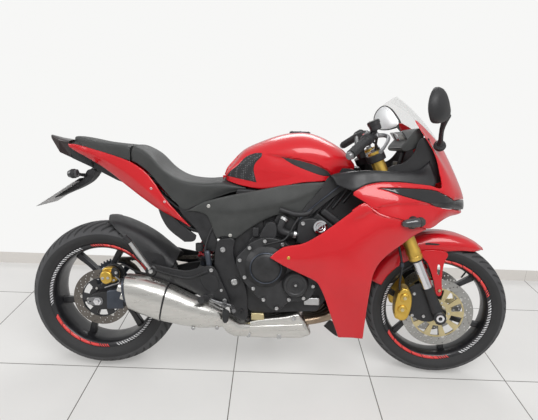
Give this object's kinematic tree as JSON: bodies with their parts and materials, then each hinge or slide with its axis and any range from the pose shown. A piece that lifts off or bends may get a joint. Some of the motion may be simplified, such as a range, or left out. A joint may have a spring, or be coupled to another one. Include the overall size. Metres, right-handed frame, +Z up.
{
  "type": "sport motorcycle",
  "caption": "Red faired sport motorcycle with dark seats, gold front fork and black cast wheels, parked leaning on its side stand.",
  "frame": {"origin": "on the floor, under the middle of the parked machine's box", "axes": "+X forward along the machine, +Y to the rider's left, +Z up"},
  "size_m": [2.0495, 0.8367, 1.2398],
  "materials": {
    "red_paint": "gloss",
    "black_frame": "satin",
    "engine": "satin",
    "dark_metal": "satin",
    "heated_steel": "satin",
    "stainless": "satin",
    "bright_metal": "satin",
    "seat_cover": "matte",
    "black_plastic": "matte",
    "grey_plastic": "matte",
    "lamp_red": "gloss",
    "dark_lens": "gloss",
    "clear": "gloss",
    "red_spring": "gloss",
    "chain_steel": "satin",
    "gold": "satin",
    "chrome": "gloss",
    "black_wheel": "satin",
    "tyre": "matte",
    "disc_steel": "satin"
  },
  "bodies": {
    "chassis": {"frame": "black_frame", "pivot_plates": "black_frame", "subframe": "black_frame", "engine_block": "engine", "engine_covers": "engine", "radiator": "dark_metal", "exhaust_headers": "heated_steel", "exhaust_shield": "stainless", "silencer": "stainless", "fuel_tank": "red_paint", "rider_seat": "seat_cover", "pillion_seat": "seat_cover", "tail_panels": "red_paint", "tail_tray": "black_plastic", "tail_lamp": "lamp_red", "number_plate_bracket": "black_plastic", "side_covers": "grey_plastic", "fairing_right": "red_paint", "fairing_left": "red_paint", "nose_cowl": "red_paint", "headlamp": "dark_lens", "windscreen": "clear", "inner_cowl": "black_plastic", "instruments": "grey_plastic", "mirror_right": "black_plastic", "mirror_left": "black_plastic", "foot_controls": "black_frame", "swingarm": "dark_metal", "rear_hugger": "black_plastic", "shock_absorber": "red_spring", "drive_chain": "chain_steel", "rear_caliper": "gold"},
    "steering": {"fork": "gold", "fork_sliders": "chrome", "handlebar": "black_frame", "front_mudguard": "red_paint", "front_calipers": "gold"},
    "front_wheel": {"front_wheel_rim": "black_wheel", "front_tyre": "tyre", "front_discs": "disc_steel"},
    "rear_wheel": {"rear_wheel_rim": "black_wheel", "rear_tyre": "tyre", "rear_disc": "disc_steel"},
    "side_stand": {"side_stand": "black_frame"},
    "fuel_cap": {"fuel_cap": "bright_metal"}
  },
  "joints": [
    {"name": "steering", "type": "hinge", "parent": "chassis", "child": "steering", "pos_m": [0.43654, -0.045, 0.8003], "axis": [-0.4305, 0.1722, 0.886], "range_deg": [-23.4, 38.6]},
    {"name": "front_wheel", "type": "hinge", "parent": "steering", "child": "front_wheel", "pos_m": [0.72518, -0.14801, 0.29825], "axis": [0.1194, 0.9839, -0.1332], "continuous": true},
    {"name": "rear_wheel", "type": "hinge", "parent": "chassis", "child": "rear_wheel", "pos_m": [-0.7115, -0.13989, 0.31211], "axis": [0, 0.9816, -0.1908], "continuous": true},
    {"name": "side_stand", "type": "hinge", "parent": "chassis", "child": "side_stand", "pos_m": [-0.013, -0.00843, 0.19182], "axis": [0, 0.9816, 0.1908], "range_deg": [0, 95]},
    {"name": "fuel_cap", "type": "hinge", "parent": "chassis", "child": "fuel_cap", "pos_m": [0.144, -0.00156, 1.02379], "axis": [0, 0.9816, -0.1908], "range_deg": [0, 95]}
  ]
}
